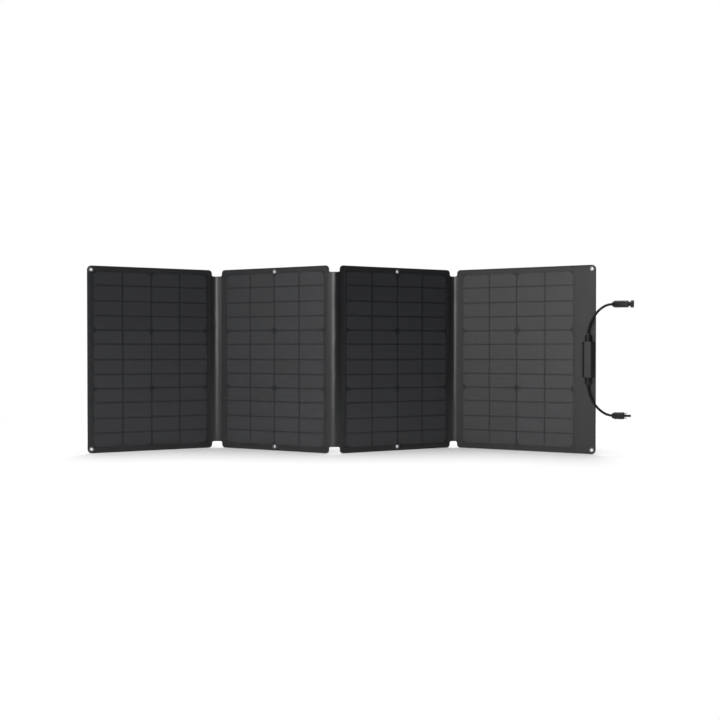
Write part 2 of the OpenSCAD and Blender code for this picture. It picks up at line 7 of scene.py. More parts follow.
import bmesh
import bpy
from mathutils import Vector, geometry, noise
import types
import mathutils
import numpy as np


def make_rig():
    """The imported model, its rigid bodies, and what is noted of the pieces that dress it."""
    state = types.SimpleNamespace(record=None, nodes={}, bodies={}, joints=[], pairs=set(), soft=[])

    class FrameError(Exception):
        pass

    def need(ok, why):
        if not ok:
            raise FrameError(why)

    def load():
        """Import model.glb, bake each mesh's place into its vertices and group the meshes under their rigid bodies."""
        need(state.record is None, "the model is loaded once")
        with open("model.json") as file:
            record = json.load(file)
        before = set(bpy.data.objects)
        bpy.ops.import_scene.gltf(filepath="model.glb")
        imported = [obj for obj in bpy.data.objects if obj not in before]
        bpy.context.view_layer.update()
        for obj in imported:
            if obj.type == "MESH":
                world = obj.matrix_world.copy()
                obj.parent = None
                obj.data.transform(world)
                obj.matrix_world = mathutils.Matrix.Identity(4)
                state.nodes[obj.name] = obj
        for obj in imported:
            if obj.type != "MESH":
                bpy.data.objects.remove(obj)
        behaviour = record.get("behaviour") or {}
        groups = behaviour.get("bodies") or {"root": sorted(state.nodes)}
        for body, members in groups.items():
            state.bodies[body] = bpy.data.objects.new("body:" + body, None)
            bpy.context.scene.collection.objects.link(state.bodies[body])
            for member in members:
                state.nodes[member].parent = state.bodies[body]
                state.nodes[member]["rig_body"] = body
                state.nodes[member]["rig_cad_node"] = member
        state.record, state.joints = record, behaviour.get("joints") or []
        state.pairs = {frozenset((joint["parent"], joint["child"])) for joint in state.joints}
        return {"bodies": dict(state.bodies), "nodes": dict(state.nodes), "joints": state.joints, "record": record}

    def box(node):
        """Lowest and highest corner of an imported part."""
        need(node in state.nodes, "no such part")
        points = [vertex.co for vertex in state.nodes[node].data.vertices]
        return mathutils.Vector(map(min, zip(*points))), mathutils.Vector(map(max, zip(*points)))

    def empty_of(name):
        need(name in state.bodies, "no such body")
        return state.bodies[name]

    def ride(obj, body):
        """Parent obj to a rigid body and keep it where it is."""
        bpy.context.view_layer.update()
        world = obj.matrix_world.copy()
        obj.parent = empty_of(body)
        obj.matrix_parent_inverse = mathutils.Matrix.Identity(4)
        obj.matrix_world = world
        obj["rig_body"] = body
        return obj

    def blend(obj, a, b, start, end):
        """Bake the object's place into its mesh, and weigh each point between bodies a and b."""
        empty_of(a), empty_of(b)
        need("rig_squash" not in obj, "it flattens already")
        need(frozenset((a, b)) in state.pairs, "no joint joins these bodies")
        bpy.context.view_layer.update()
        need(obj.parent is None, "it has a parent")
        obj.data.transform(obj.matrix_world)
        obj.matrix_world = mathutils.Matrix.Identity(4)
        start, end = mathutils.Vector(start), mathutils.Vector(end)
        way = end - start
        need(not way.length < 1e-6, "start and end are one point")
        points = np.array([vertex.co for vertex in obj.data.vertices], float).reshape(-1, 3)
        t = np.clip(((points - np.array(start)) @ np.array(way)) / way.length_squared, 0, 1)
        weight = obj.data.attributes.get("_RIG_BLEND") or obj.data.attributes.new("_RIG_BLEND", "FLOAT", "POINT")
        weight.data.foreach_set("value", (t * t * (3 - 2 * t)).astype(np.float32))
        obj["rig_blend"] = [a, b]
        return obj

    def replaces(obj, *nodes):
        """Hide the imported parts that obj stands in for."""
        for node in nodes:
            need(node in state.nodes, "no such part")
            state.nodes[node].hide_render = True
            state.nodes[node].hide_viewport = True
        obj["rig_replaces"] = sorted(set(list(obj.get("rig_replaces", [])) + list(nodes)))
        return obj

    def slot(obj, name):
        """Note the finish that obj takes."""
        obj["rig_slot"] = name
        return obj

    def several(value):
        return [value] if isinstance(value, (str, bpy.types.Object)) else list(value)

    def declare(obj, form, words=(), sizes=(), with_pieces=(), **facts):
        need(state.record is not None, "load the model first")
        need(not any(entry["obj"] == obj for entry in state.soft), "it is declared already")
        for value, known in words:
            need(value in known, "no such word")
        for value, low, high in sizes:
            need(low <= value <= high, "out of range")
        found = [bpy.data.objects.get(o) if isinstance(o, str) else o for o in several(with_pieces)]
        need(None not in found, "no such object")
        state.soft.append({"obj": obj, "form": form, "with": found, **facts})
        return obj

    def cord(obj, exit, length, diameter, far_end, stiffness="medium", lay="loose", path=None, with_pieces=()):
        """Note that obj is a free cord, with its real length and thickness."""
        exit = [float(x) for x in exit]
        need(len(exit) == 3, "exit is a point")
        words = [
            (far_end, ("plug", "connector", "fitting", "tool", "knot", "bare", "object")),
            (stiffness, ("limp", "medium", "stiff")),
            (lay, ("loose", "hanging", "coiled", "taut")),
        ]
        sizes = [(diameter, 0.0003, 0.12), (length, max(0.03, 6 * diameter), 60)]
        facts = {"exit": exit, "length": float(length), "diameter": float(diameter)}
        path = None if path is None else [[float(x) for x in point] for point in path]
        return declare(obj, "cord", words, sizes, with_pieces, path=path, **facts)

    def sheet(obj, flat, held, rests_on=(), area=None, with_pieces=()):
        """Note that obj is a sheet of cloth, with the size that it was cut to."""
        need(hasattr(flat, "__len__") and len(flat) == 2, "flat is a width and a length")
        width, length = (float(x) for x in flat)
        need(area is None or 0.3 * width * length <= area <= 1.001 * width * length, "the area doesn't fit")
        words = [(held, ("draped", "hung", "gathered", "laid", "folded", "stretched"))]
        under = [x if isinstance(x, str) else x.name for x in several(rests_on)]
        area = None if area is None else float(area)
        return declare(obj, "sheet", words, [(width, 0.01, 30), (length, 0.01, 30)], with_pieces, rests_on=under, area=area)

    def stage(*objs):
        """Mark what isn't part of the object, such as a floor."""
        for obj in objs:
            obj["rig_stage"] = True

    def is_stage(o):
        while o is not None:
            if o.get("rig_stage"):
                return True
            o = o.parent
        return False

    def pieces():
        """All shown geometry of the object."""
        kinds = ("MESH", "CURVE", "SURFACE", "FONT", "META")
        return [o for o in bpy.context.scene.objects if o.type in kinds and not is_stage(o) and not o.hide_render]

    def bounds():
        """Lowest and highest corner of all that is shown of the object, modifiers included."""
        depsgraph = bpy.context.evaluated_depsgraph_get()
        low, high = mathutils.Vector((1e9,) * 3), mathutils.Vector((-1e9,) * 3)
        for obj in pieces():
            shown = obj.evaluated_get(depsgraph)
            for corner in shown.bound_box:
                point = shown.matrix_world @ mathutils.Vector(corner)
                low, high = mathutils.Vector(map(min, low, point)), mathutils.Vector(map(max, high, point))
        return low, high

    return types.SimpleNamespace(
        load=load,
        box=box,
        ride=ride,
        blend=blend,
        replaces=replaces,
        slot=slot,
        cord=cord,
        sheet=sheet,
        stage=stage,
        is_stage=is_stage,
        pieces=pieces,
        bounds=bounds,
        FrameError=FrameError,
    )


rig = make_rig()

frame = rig.load()
cad_low, cad_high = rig.bounds()

MM = 0.001
TURN = math.radians(26)  # of each panel at rest, to either side in turn

# Sizes of the panels in millimetres, and depths behind a panel's front plane.
PANEL_W = 355.0
PANEL_H = 520.0
FLAP_W = 47.0
OUTER_R = 12.0
FOLD_R = 10.0
CELLS_LEFT = {1: 15.5, 2: 17.5, 3: 18.0, 4: 17.5}
COLUMN = 81.0
COLUMNS = 4
WAFER = 163.5
WAFERS_UP = 3
ROW_SHARES = (0.0, 0.243, 0.495, 0.761)  # of a wafer, where its cut pieces start
ROW_LINES = [WAFER * (wafer + share) for wafer in range(WAFERS_UP) for share in ROW_SHARES]
ROW_LINES.append(WAFER * WAFERS_UP)
CELLS_BOTTOM = (PANEL_H - ROW_LINES[-1]) / 2
FILM_RIM = 5.0
COVER_FRONT = 1.0
COVER_BACK = 1.8
BOARD_BACK = 3.3
PANEL_BACK = 4.1
EYELET_INSET = 11.0

# ---- Camera ----

CAMERA_PLACE = (0.0536, -2.55, 0.287)
CAMERA_TILT = 89.345
CAMERA_LENS = 45.03
camera = bpy.data.objects.new("camera", bpy.data.cameras.new("camera"))
bpy.context.scene.collection.objects.link(camera)
bpy.context.scene.camera = camera
camera.location = CAMERA_PLACE
camera.rotation_euler = (math.radians(CAMERA_TILT), 0, 0)
camera.data.sensor_width = 36
camera.data.lens = CAMERA_LENS
camera.data.clip_start = 0.05

# ---- Shader values ----


class Value:
    """An output socket of a finish's nodes. Arithmetic on it adds Math nodes."""

    def __init__(self, finish, socket):
        self.finish = finish
        self.socket = socket

    def __add__(self, other):
        return self.finish.math("ADD", self, other)

    def __sub__(self, other):
        return self.finish.math("SUBTRACT", self, other)

    def __mul__(self, other):
        return self.finish.math("MULTIPLY", self, other)

    def __truediv__(self, other):
        return self.finish.math("DIVIDE", self, other)


class Finish:
    """A material made of nodes around one Principled shader."""

    def __init__(self, name, **skin):
        self.material = bpy.data.materials.new(name)
        self.material.use_nodes = True
        self.tree = self.material.node_tree
        self.skin = self.tree.nodes["Principled BSDF"]
        self.wear(**skin)

    def node(self, kind, settings=None, sockets=None, out=0):
        """Adds a node, sets it, then fills its sockets with numbers, colours or links."""
        made = self.tree.nodes.new(kind)
        for key, setting in (settings or {}).items():
            if key == "stops":
                for n, (place, grey) in enumerate(setting):
                    if n >= len(made.color_ramp.elements):
                        made.color_ramp.elements.new(place)
                    made.color_ramp.elements[n].position = place
                    made.color_ramp.elements[n].color = (grey, grey, grey, 1)
            else:
                setattr(made, key, setting)
        for key, value in (sockets or {}).items():
            self.give(made.inputs[key], value)
        return Value(self, made.outputs[out])

    def give(self, socket, value):
        if isinstance(value, Value):
            self.tree.links.new(value.socket, socket)
        elif hasattr(value, "__len__") and socket.type == "RGBA":
            socket.default_value = (*value[:3], 1)
        else:
            socket.default_value = value

    def wear(self, **skin):
        """Fills the Principled shader's own sockets, named in small letters."""
        for key, value in skin.items():
            self.give(self.skin.inputs[key.replace("_", " ").title()
                                       .replace("Ior", "IOR")], value)

    def math(self, operation, *values):
        return self.node("ShaderNodeMath", {"operation": operation},
                         dict(enumerate(values)))

    def mix(self, share, first, second):
        """A colour between two others."""
        return self.node("ShaderNodeMix", {"data_type": "RGBA"},
                         {0: share, 6: first, 7: second}, out=2)

    def place(self):
        """The point in the frame, in metres, at rest."""
        return self.node("ShaderNodeTexCoord", out=3)

    def cloth(self):
        """The point on a flat cut of the piece, in metres."""
        return self.node("ShaderNodeUVMap", {"uv_map": "cloth"})

    def split(self, point):
        """The parts of a vector along x, y and z."""
        return [self.node("ShaderNodeSeparateXYZ", {}, {0: point}, out=n)
                for n in range(3)]

    def noise(self, point, size, detail=2.0, rough=0.5):
        """Cloudy noise from 0 to 1, with lumps about that size in metres."""
        return self.node("ShaderNodeTexNoise", {},
                         {"Vector": point, "Scale": 1 / size, "Detail": detail,
                          "Roughness": rough})

    def ramp(self, value, *stops):
        """A grey that follows a value through stops of (place, grey)."""
        return self.node("ShaderNodeValToRGB", {"stops": stops}, {0: value})

    def bump(self, height, distance, strength):
        return self.node("ShaderNodeBump", {},
                         {"Height": height, "Distance": distance, "Strength": strength})

    def waves(self, value, pitch):
        """A sine along a value in metres, from -1 to 1."""
        return self.math("SINE", value * (2 * math.pi / pitch))


def woven(name, dark, light, pitch, roughness, depth, gloss=0.35):
    """Woven cloth with a laminated face: yarns, cloudy dye and slight creases."""
    finish = Finish(name, specular_ior_level=gloss)
    cut = finish.cloth()
    across, up, _ = finish.split(cut)
    yarns = finish.waves(across, pitch) * finish.waves(up, pitch)
    slubs = finish.noise(cut, 0.004, 3.0, 0.6)
    clouds = finish.noise(cut, 0.07, 4.0, 0.55)
    diagonal = finish.waves(across + up, pitch * 5)
    tone = clouds * 0.6 + slubs * 0.3 + yarns * 0.08 + diagonal * 0.03
    shade = finish.ramp(tone, (0.25, 0.0), (0.75, 1.0))
    finish.wear(
        base_color=finish.mix(shade, dark, light),
        roughness=slubs * 0.12 + (roughness - 0.06),
        normal=finish.bump(yarns * 0.5 + slubs * 0.6 + clouds * 2.0, depth, 0.6),
    )
    return finish


def moulded(name, dark, light, roughness, grain=0.0009, gloss=0.5):
    """Moulded plastic or rubber with a fine spark-eroded grain and rubbed patches."""
    finish = Finish(name, specular_ior_level=gloss)
    spot = finish.place()
    pores = finish.noise(spot, grain, 3.0, 0.6)
    rubbed = finish.noise(spot, 0.018, 3.0, 0.5)
    finish.wear(
        base_color=finish.mix(finish.ramp(rubbed, (0.3, 0.0), (0.7, 1.0)), dark, light),
        roughness=rubbed * 0.14 + pores * 0.08 + (roughness - 0.11),
        normal=finish.bump(pores, 0.00012, 0.5),
    )
    return finish


def metal(name, dark, light, roughness):
    """Plated or drawn metal with streaks and a little tarnish."""
    finish = Finish(name, metallic=1.0)
    spot = finish.place()
    streaks = finish.noise(spot, 0.0006, 4.0, 0.7)
    tarnish = finish.noise(spot, 0.006, 3.0, 0.5)
    finish.wear(
        base_color=finish.mix(finish.ramp(tarnish, (0.3, 0.0), (0.65, 1.0)), dark, light),
        roughness=tarnish * 0.12 + streaks * 0.1 + (roughness - 0.11),
        normal=finish.bump(streaks, 0.00004, 0.5),
    )
    return finish


def clear_film():
    """The clear front film, with the fine pebble grain of a fluoropolymer sheet."""
    finish = Finish("clear_film", specular_ior_level=0.5, alpha=0.1,
                    base_color=(0.03, 0.031, 0.034, 1))
    cut = finish.cloth()
    pebbles = finish.node("ShaderNodeTexVoronoi", {"feature": "SMOOTH_F1"},
                          {"Vector": cut, "Scale": 650.0, "Smoothness": 0.8})
    clouds = finish.noise(cut, 0.05)
    finish.wear(
        roughness=clouds * 0.1 + 0.33,
        normal=finish.bump(pebbles, 0.00004, 0.4),
    )
    return finish


FINGER = (0.1, 0.1, 0.105)
FINGER_PITCH = 0.0019
# Tone of the painted shade along the gaps between cut pieces, and how far it reaches onto each piece.
GAP_SHADE_TONE = (0.002, 0.002, 0.0025)
GAP_SHADE_REACH = 0.005


def cell_face(panel):
    """Single-crystal silicon: wafers of slightly different tone, with hair-fine fingers
    and a painted shade that darkens each cut piece's edge along the gaps between pieces."""
    finish = Finish(f"solar_cell_{panel.number}", specular_ior_level=0.5)
    spot = finish.place()
    along = finish.node("ShaderNodeVectorMath", {"operation": "DOT_PRODUCT"},
                        {0: spot, 1: (panel.cos, panel.sin, 0)}, out=1)
    left = panel.start.x * panel.cos + panel.start.y * panel.sin
    across = along - (left + panel.cells_left * MM)
    up = finish.split(spot)[2] - CELLS_BOTTOM * MM
    column = finish.math("FLOOR", across / (COLUMN * MM))
    wafer_column = finish.math("FLOOR", across / (2 * COLUMN * MM))
    wafer_row = finish.math("FLOOR", up / (WAFER * MM))
    inside = up / (WAFER * MM) - wafer_row
    row = wafer_row * float(len(ROW_SHARES))
    for share in ROW_SHARES[1:]:
        row = row + finish.math("GREATER_THAN", inside, share)

    def luck(x, y, seed):
        spot = finish.node("ShaderNodeCombineXYZ", {}, {0: x, 1: y, 2: seed})
        return finish.node("ShaderNodeTexWhiteNoise", {}, {0: spot})

    cut_tone = luck(column, row, float(panel.number))
    wafer_tone = luck(wafer_column, wafer_row, 10.0 + panel.number)
    clouds = finish.noise(spot, 0.03, 3.0, 0.55)
    fingers = finish.ramp(finish.waves(up, FINGER_PITCH), (0.72, 0.0), (0.98, 1.0))
    from_column = finish.math("PINGPONG", across, COLUMN * MM / 2)
    from_gap = finish.math("MINIMUM", from_column, inside * (WAFER * MM))
    for share in (*ROW_SHARES[1:], 1.0):
        from_row = finish.math("ABSOLUTE", inside - share) * (WAFER * MM)
        from_gap = finish.math("MINIMUM", from_gap, from_row)
    # rim: painted shade, darker near the gaps between cut pieces.
    rim = finish.ramp(from_gap / GAP_SHADE_REACH, (0.46, 1.0), (0.68, 0.0))
    tone = cut_tone * 0.3 + wafer_tone * 0.35 + clouds * 0.35
    silicon = finish.mix(tone, (0.0135, 0.014, 0.0155), (0.025, 0.0255, 0.028))
    printed = finish.mix(fingers * 0.12, silicon, FINGER)
    finish.wear(
        # The painted shade along the gaps is mixed over the printed silicon.
        base_color=finish.mix(rim * 0.72, printed, GAP_SHADE_TONE),
        roughness=clouds * 0.1 + cut_tone * 0.05 + 0.36,
        normal=finish.bump(fingers + clouds * 3.0, 0.00003, 0.5),
    )
    return finish


def glass_board():
    """Fibreglass sheet: a pale resin over a coarse glass weave."""
    finish = Finish("board", specular_ior_level=0.4)
    spot = finish.place()
    x, _, z = finish.split(spot)
    strands = finish.waves(x, 0.0024) * finish.waves(z, 0.0024)
    clouds = finish.noise(spot, 0.05, 4.0)
    tone = strands * 0.25 + clouds * 0.7
    finish.wear(
        base_color=finish.mix(tone, (0.33, 0.34, 0.24), (0.52, 0.52, 0.40)),
        roughness=clouds * 0.2 + 0.4,
        normal=finish.bump(strands, 0.0001, 0.5),
    )
    return finish


# ---- Panels and their own axes ----


class Panel:
    """One panel: x along it from its left edge, depth behind its front plane, z up."""

    def __init__(self, number):
        self.number = number
        self.body = f"panel_{number}"
        self.cos = math.cos(TURN)
        self.sin = math.sin(TURN) * (1 if number % 2 else -1)
        low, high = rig.box(f"front_cover_{number}")
        # The cover's box touches the front or the back corner of its left edge.
        if number % 2:
            self.start = Vector((low.x + self.sin * COVER_BACK * MM,
                                 low.y - self.cos * COVER_FRONT * MM, 0))
        else:
            self.start = Vector((low.x + self.sin * COVER_FRONT * MM,
                                 high.y - self.cos * COVER_BACK * MM, 0))
        self.width = PANEL_W + (FLAP_W if number == 4 else 0)
        self.left_r = OUTER_R if number == 1 else FOLD_R
        self.right_r = OUTER_R if number == 4 else FOLD_R
        self.cells_left = CELLS_LEFT[number]
        middle = self.cells_left + COLUMNS * COLUMN / 2
        self.eyelet_x = {1: EYELET_INSET, 4: self.width - EYELET_INSET}.get(number, middle)
        self.eyelets = [(self.eyelet_x, EYELET_INSET),
                        (self.eyelet_x, PANEL_H - EYELET_INSET)]

    def at(self, x, depth, z):
        """The point of the frame, in metres."""
        return self.start + Vector((self.cos * x - self.sin * depth,
                                    self.sin * x + self.cos * depth, z)) * MM

    def behind(self):
        """The way from the panel's front to its back."""
        return Vector((-self.sin, self.cos, 0))


panels = {number: Panel(number) for number in (1, 2, 3, 4)}
last = panels[4]

# ---- Leads ----

BOX_X = last.width - 18.5
BOX_Z = PANEL_H / 2
BOX_LEN = 98.0
GLAND_DEPTH = COVER_FRONT - 10.0
GLAND_LEN = 21.0
LEAD_D = 6.8
LEAD_TURN = math.radians(-13)
LEAD_POINTS = 40
UPPER_ROUTE = [(0, -28), (0, -12), (0, -1), (0, 5), (3, 20), (10, 37), (20, 55),
               (33, 69), (48, 78), (62, 81)]
LOWER_ROUTE = [(0, 28), (0, 12), (0, 1), (0, -5), (4, -24), (14, -47), (28, -65),
               (46, -78), (62, -82.5)]
upper_tip = last.at(BOX_X, GLAND_DEPTH, BOX_Z + BOX_LEN / 2 + GLAND_LEN)
lower_tip = last.at(BOX_X, GLAND_DEPTH, BOX_Z - BOX_LEN / 2 - GLAND_LEN)
lead_way = Vector((math.cos(LEAD_TURN), math.sin(LEAD_TURN), 0))
UP = Vector((0, 0, 1))


def on_route(route, part):
    """The point at that part of a smooth curve through a route's points."""
    spans = len(route) - 1
    n = min(spans - 1, int(part * spans))
    t = part * spans - n
    a, b, c, d = (Vector(route[max(0, min(spans, k))]) for k in range(n - 1, n + 3))
    return 0.5 * (2 * b + (c - a) * t + (2 * a - 5 * b + 4 * c - d) * t * t
                  + (3 * b - a - 3 * c + d) * t * t * t)


def make_lead(name, route, tip):
    """A lead from inside its gland, and its length in metres."""
    line = [on_route(route, n / (LEAD_POINTS - 1)) for n in range(LEAD_POINTS)]
    points = [tip + (lead_way * p.x + UP * p.y) * MM for p in line]
    curve = bpy.data.curves.new(name, "CURVE")
    curve.dimensions = "3D"
    curve.bevel_depth = LEAD_D / 2 * MM
    curve.bevel_resolution = 6
    curve.use_fill_caps = True
    spline = curve.splines.new("POLY")
    spline.points.add(LEAD_POINTS - 1)
    for spot, point in zip(spline.points, points):
        spot.co = (*point, 1)
    spline.use_smooth = True
    lead = bpy.data.objects.new(name, curve)
    bpy.context.scene.collection.objects.link(lead)
    length = sum((b - a).length for a, b in zip(points, points[1:]))
    return lead, length


upper_lead, upper_length = make_lead("upper_lead", UPPER_ROUTE, upper_tip)
lower_lead, lower_length = make_lead("lower_lead", LOWER_ROUTE, lower_tip)

# ---- Shapes ----


class Shape:
    """Points and faces of one piece, given in a place's own millimetres."""

    def __init__(self, place):
        self.place = place
        self.local = []
        self.cloth = []
        self.faces = []
        self.parts = []

    def add(self, x, depth, z, cloth=None):
        """The number of a new point, which may have its own place on the flat cloth."""
        self.local.append((x, depth, z))
        self.cloth.append(cloth or (x, z))
        return len(self.local) - 1

    def face(self, corners, part=0):
        self.faces.append(corners)
        self.parts.append(part)

    def bridge(self, low, high):
        """A band of faces between two closed rings."""
        for n in range(len(low)):
            m = (n + 1) % len(low)
            self.face((low[n], low[m], high[m], high[n]))

    def loft(self, rings, closed=False):
        """Bands from ring to ring, then caps, or a last band back to the first ring."""
        for a, b in zip(rings, rings[1:]):
            self.bridge(a, b)
        if closed:
            self.bridge(rings[-1], rings[0])
        else:
            self.face(tuple(rings[0]))
            self.face(tuple(rings[-1]))

    def fill(self, loops, spots, depth_at, part_at, holes, fences=()):
        """Covers the first loop, less the round holes, with triangles over the spots."""
        known = [i for loop in loops for i in loop]
        flat = [Vector((self.local[i][0], self.local[i][2])) for i in known]
        edges = []
        base = 0
        for loop in loops:
            edges += [(base + n, base + (n + 1) % len(loop)) for n in range(len(loop))]
            base += len(loop)
        for fence in fences:
            base = len(flat)
            flat += [Vector(p) for p in fence]
            edges += [(base + n, base + (n + 1) % len(fence)) for n in range(len(fence))]
        flat += [Vector(s) for s in spots]
        points, _, triangles, origins, _, _ = geometry.delaunay_2d_cdt(
            flat, edges, [], 1, 1e-5)
        index = []
        for point, origin in zip(points, origins):
            old = [k for k in origin if k < len(known)]
            index.append(known[old[0]] if old else
                         self.add(point.x, depth_at(point.x, point.y), point.y))
        for triangle in triangles:
            middle = sum((points[k] for k in triangle), Vector((0, 0))) / 3
            if all((middle - Vector(centre)).length > r for centre, r in holes):
                self.face(tuple(index[k] for k in triangle), part_at(middle.x, middle.y))

    def build(self, name, finishes, sharp=35):
        """The piece, with its edges sharp where faces meet at more than that angle."""
        mesh = bpy.data.meshes.new(name)
        mesh.from_pydata([self.place(*p) for p in self.local], [], self.faces)
        cloth = mesh.uv_layers.new(name="cloth")
        for loop in mesh.loops:
            x, z = self.cloth[loop.vertex_index]
            cloth.data[loop.index].uv = (x * MM, z * MM)
        for finish in finishes:
            mesh.materials.append(finish.material)
        mesh.polygons.foreach_set("material_index", self.parts)
        work = bmesh.new()
        work.from_mesh(mesh)
        loose = [v for v in work.verts if not v.link_faces]
        bmesh.ops.delete(work, geom=loose, context="VERTS")
        bmesh.ops.recalc_face_normals(work, faces=work.faces)
        work.to_mesh(mesh)
        work.free()
        mesh.shade_smooth()
        mesh.set_sharp_from_angle(angle=math.radians(sharp))
        piece = bpy.data.objects.new(name, mesh)
        bpy.context.scene.collection.objects.link(piece)
        return piece


def dress(piece, body, slot, *nodes):
    """The piece rides on a body and stands for these CAD nodes."""
    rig.ride(piece, body)
    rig.slot(piece, slot)
    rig.replaces(piece, *nodes)
    return piece


FINE_STEP = 1.0
FINE_REACH = 9.0
ARC_STEPS = 8
TIGHT_REACH = 30


def stations(length, step, tight):
    """Places from 0 to 1 along an edge, closer together near the tight places."""
    at, places = 0.0, []
    while at < length - 1e-6:
        places.append(at / length)
        near = min((abs(at - t) for t in tight), default=length)
        at += (FINE_STEP if near < FINE_REACH
               else min(step, max(FINE_STEP, (near - FINE_REACH) * 0.7)))
    return places


def outline(low, high, left_r, right_r, inset, step, tight=(), bites=(), bite_r=0):
    """Points around a sheet with round corners, drawn in by the inset. The tight
    places and the bites are given along x and z of the sheet's face."""
    corners = []
    for x, z, r, turn in ((high[0], low[1], right_r, -90), (high[0], high[1], right_r, 0),
                          (low[0], high[1], left_r, 90), (low[0], low[1], left_r, 180)):
        keep = max(r, inset + 0.4)
        cx = x + keep if x == low[0] else x - keep
        cz = z + keep if z == low[1] else z - keep
        arc = []
        for n in range(ARC_STEPS + 1):
            a = math.radians(turn + 90 * n / ARC_STEPS)
            arc.append((cx + (keep - inset) * math.cos(a), cz + (keep - inset) * math.sin(a)))
        corners.append(arc)
    loop = []
    for n, arc in enumerate(corners):
        ahead = corners[(n + 1) % 4][0]
        across = n in (1, 3)
        span = (high[0] - low[0]) if across else (high[1] - low[1])
        ends = {1: high[0], 3: low[0], 0: low[1], 2: high[1]}[n]
        marks = [abs((x if across else z) - ends) for x, z in tight
                 if (abs(z - (high[1] if n == 1 else low[1])) < TIGHT_REACH if across
                     else abs(x - (high[0] if n == 0 else low[0])) < TIGHT_REACH)]
        loop += arc[:-1]
        end = arc[-1]
        for part in stations(span, step, marks):
            loop.append((end[0] + (ahead[0] - end[0]) * part,
                         end[1] + (ahead[1] - end[1]) * part))
    out = []
    for x, z in loop:
        for bx, bz in bites:
            far = math.hypot(x - bx, z - bz)
            if far < bite_r + inset:
                x = bx + (x - bx) / far * (bite_r + inset)
                z = bz + (z - bz) / far * (bite_r + inset)
        out.append((x, z))
    return out


def circle(centre, r, count=32):
    return [(centre[0] + r * math.cos(2 * math.pi * n / count),
             centre[1] + r * math.sin(2 * math.pi * n / count)) for n in range(count)]


def ripple(panel, x, z, size, height):
    """A slow, smooth unevenness of a cover, in millimetres."""
    return height * noise.noise(Vector((x / size, z / size, panel.number * 7.3)))


HOLE_CLEAR = 2.5


def lattice(low, high, step, holes, margin):
    """Spots on a grid inside a sheet, clear of its holes."""
    columns = max(1, round((high[0] - low[0] - 2 * margin) / step))
    rows = max(1, round((high[1] - low[1] - 2 * margin) / step))
    spots = []
    for i in range(columns + 1):
        for j in range(rows + 1):
            x = low[0] + margin + (high[0] - low[0] - 2 * margin) * i / columns
            z = low[1] + margin + (high[1] - low[1] - 2 * margin) * j / rows
            if all(math.hypot(x - c[0], z - c[1]) > r + HOLE_CLEAR for c, r in holes):
                spots.append((x, z))
    return spots


EYELET_CUT = 4.3
RIM_STEP = 13.0
INNER_STEP = 40.0
OUTER_STEP = 12.0
# Sections of the covers' rims: (inset from the edge, depth).
FRONT_RIM = [(5.2, 1.79), (0.5, 1.79), (0.14, 1.68), (0.0, 1.42), (0.1, 1.18), (0.34, 1.04),
             (0.7, 1.0), (2.3, 1.0), (2.6, 1.09), (3.0, 1.13), (3.4, 1.09), (3.7, 1.0),
             (5.2, 0.99)]
BACK_RIM = [(6.1, 3.34), (6.1, 1.86), (5.6, 1.81), (0.5, 1.81), (0.12, 1.95), (0.0, 2.3),
            (0.06, 2.9), (0.35, 3.3), (0.9, 3.52), (2.2, 3.6), (2.6, 3.5), (3.0, 3.46),
            (3.4, 3.5), (3.8, 3.66), (4.6, 3.86), (5.6, 4.02), (6.6, 4.08)]


def make_cover(panel, name, rim, inner, outer, finishes, part_at, fences):
    """A sheet with a moulded rim; rim goes from its inner face round to its outer one."""
    low, high = (0.0, 0.0), (panel.width, PANEL_H)
    shape = Shape(panel.at)
    rings = []
    for inset, depth in rim:
        spots = outline(low, high, panel.left_r, panel.right_r, inset, RIM_STEP)
        rings.append([shape.add(x, depth, z) for x, z in spots])
    for a, b in zip(rings, rings[1:]):
        shape.bridge(a, b)
    holes = [(centre, EYELET_CUT) for centre in panel.eyelets]
    cuts = [[shape.add(x, depth, z) for x, z in circle(centre, r)]
            for depth in (inner(0, 0), outer(0, 0)) for centre, r in holes]
    for a, b in zip(cuts[:2], cuts[2:]):
        shape.bridge(a, b)
    coarse = lattice(low, high, INNER_STEP, holes, rim[0][0] + 6)
    shape.fill([rings[0], *cuts[:2]], coarse, inner, lambda x, z: 0, holes)
    fine = lattice(low, high, OUTER_STEP, holes, rim[-1][0] + 4)
    shape.fill([rings[-1], *cuts[2:]], fine, outer, part_at, holes, fences)
    return shape.build(name, finishes)


FILM_BITE = 7.0
BACKING_BITE = FILM_BITE + 0.6
BACKING_INSET = 6.0


def film_box(panel, inset=0.0):
    """The film's lowest and highest corners on a panel's face."""
    left = panel.cells_left - FILM_RIM + inset
    bottom = CELLS_BOTTOM - FILM_RIM + inset
    return ((left, bottom), (2 * (panel.cells_left + COLUMNS * COLUMN / 2) - left,
                             PANEL_H - bottom))


def make_front_cover(panel, cloth, backing):
    """The front cover, with a smooth backing where it lies under the film."""
    (x0, z0), (x1, z1) = film_box(panel, BACKING_INSET)

    def outer(x, z):
        inside = min(x - x0, x1 - x, z - z0, z1 - z)
        fade = max(0.0, min(1.0, -inside / 6))
        edge = max(0.0, min(1.0, min(x, panel.width - x, z, PANEL_H - z) / 12 - 0.4))
        return COVER_FRONT + ripple(panel, x, z, 55, 0.3) * fade * edge

    def part_at(x, z):
        clear = all(math.hypot(x - ex, z - ez) > BACKING_BITE for ex, ez in panel.eyelets)
        return 1 if clear and x0 < x < x1 and z0 < z < z1 else 0

    fence = outline((x0, z0), (x1, z1), 1, 1, 0.0, 20.0, panel.eyelets, panel.eyelets,
                    BACKING_BITE)
    return make_cover(panel, f"front_fabric_{panel.number}", FRONT_RIM,
                      lambda x, z: COVER_BACK - 0.01, outer, [cloth, backing], part_at,
                      [fence])


